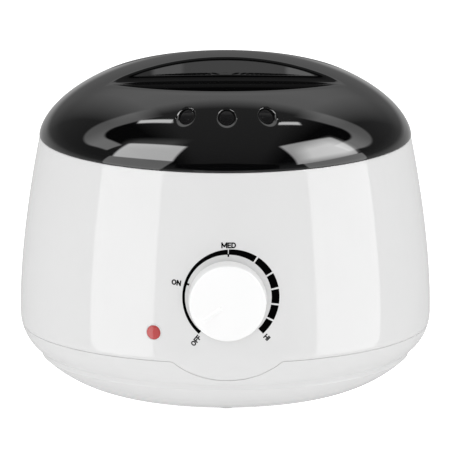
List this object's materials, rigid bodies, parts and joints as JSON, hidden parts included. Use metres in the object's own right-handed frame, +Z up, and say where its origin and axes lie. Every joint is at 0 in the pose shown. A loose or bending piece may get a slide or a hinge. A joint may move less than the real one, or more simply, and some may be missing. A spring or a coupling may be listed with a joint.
{
  "type": "wax warmer",
  "caption": "Round countertop depilatory wax warmer: white bowl-shaped heater with a front dial and pilot lamp, lift-out aluminium pot with a bail, and a smoky domed lid with a grip bar.",
  "frame": {"origin": "on the body's axis, at the plane that the rubber feet stand on", "axes": "+Z up along the body's axis; the dial faces -Y and the cord entry faces +Y; +X is to the right of someone facing the dial"},
  "size_m": [0.178, 0.1976, 0.1475],
  "materials": {
    "white_shell": "glossy injection-moulded ABS",
    "knob_white": "satin injection-moulded ABS",
    "smoke_lid": "glossy smoky translucent polycarbonate, nearly black",
    "foot_rubber": "matt black rubber",
    "gland_black": "moulded black nylon",
    "aluminium": "drawn and brushed",
    "steel": "zinc-plated sheet and screws",
    "bail_steel": "polished stainless wire",
    "brass": "plain",
    "mica": "mica and steel strip heater",
    "ceramic": "unglazed steatite",
    "silicone": "moulded silicone",
    "phenolic": "moulded phenolic",
    "nylon": "moulded nylon",
    "lens_red": "translucent red",
    "lamp_glass": "clear",
    "sleeve_brown": "glass-fibre sleeved wire",
    "sleeve_tan": "glass-fibre sleeved wire",
    "sleeve_white": "glass-fibre sleeved wire",
    "sleeve_green": "green and yellow insulated wire"
  },
  "bodies": {
    "warmer": {"housing": "white_shell", "base": "white_shell", "rubber_feet": "foot_rubber", "base_screws": "steel", "support_frame": "steel", "frame_screws": "steel", "heating_chamber": "aluminium", "chamber_gasket": "silicone", "chamber_spacer": "ceramic", "chamber_nut": "steel", "heat_shield": "aluminium", "heater_band": "mica", "band_clamp": "steel", "clamp_screw": "steel", "thermal_fuse": "aluminium", "fuse_clip": "steel", "thermostat_body": "phenolic", "thermostat_nut": "steel", "thermostat_bracket": "steel", "bracket_screws": "steel", "pilot_lens": "lens_red", "neon_lamp": "lamp_glass", "lamp_retainer": "gland_black", "cord_gland": "gland_black", "gland_nut": "gland_black", "terminal_block": "nylon", "block_screws": "steel", "terminal_screws": "brass", "earth_tag": "brass", "lead_live": "sleeve_brown", "lead_heater": "sleeve_brown", "lead_fuse": "sleeve_tan", "lead_return": "sleeve_tan", "lead_lamp": "sleeve_white", "lead_earth": "sleeve_green"},
    "dial": {"knob": "knob_white", "thermostat_spindle": "steel"},
    "pot": {"wax_pot": "aluminium", "pot_ears": "steel", "ear_rivets": "aluminium"},
    "bail": {"bail": "bail_steel"},
    "lid": {"lid": "smoke_lid"}
  },
  "joints": [
    {"name": "knob_turn", "type": "hinge", "parent": "warmer", "child": "dial", "pos_m": [0, -0.0935, 0.0574], "axis": [0, 1, 0], "range_deg": [0, 262]},
    {"name": "pot_lift", "type": "slide", "parent": "warmer", "child": "pot", "axis": [0, 0, 1], "range_m": [0, 0.08]},
    {"name": "lid_lift", "type": "slide", "parent": "pot", "child": "lid", "axis": [0, 0, 1], "range_m": [0, 0.1]},
    {"name": "bail_swing", "type": "hinge", "parent": "pot", "child": "bail", "pos_m": [0, 0, 0.1113], "axis": [1, 0, 0], "range_deg": [0, 20]}
  ]
}
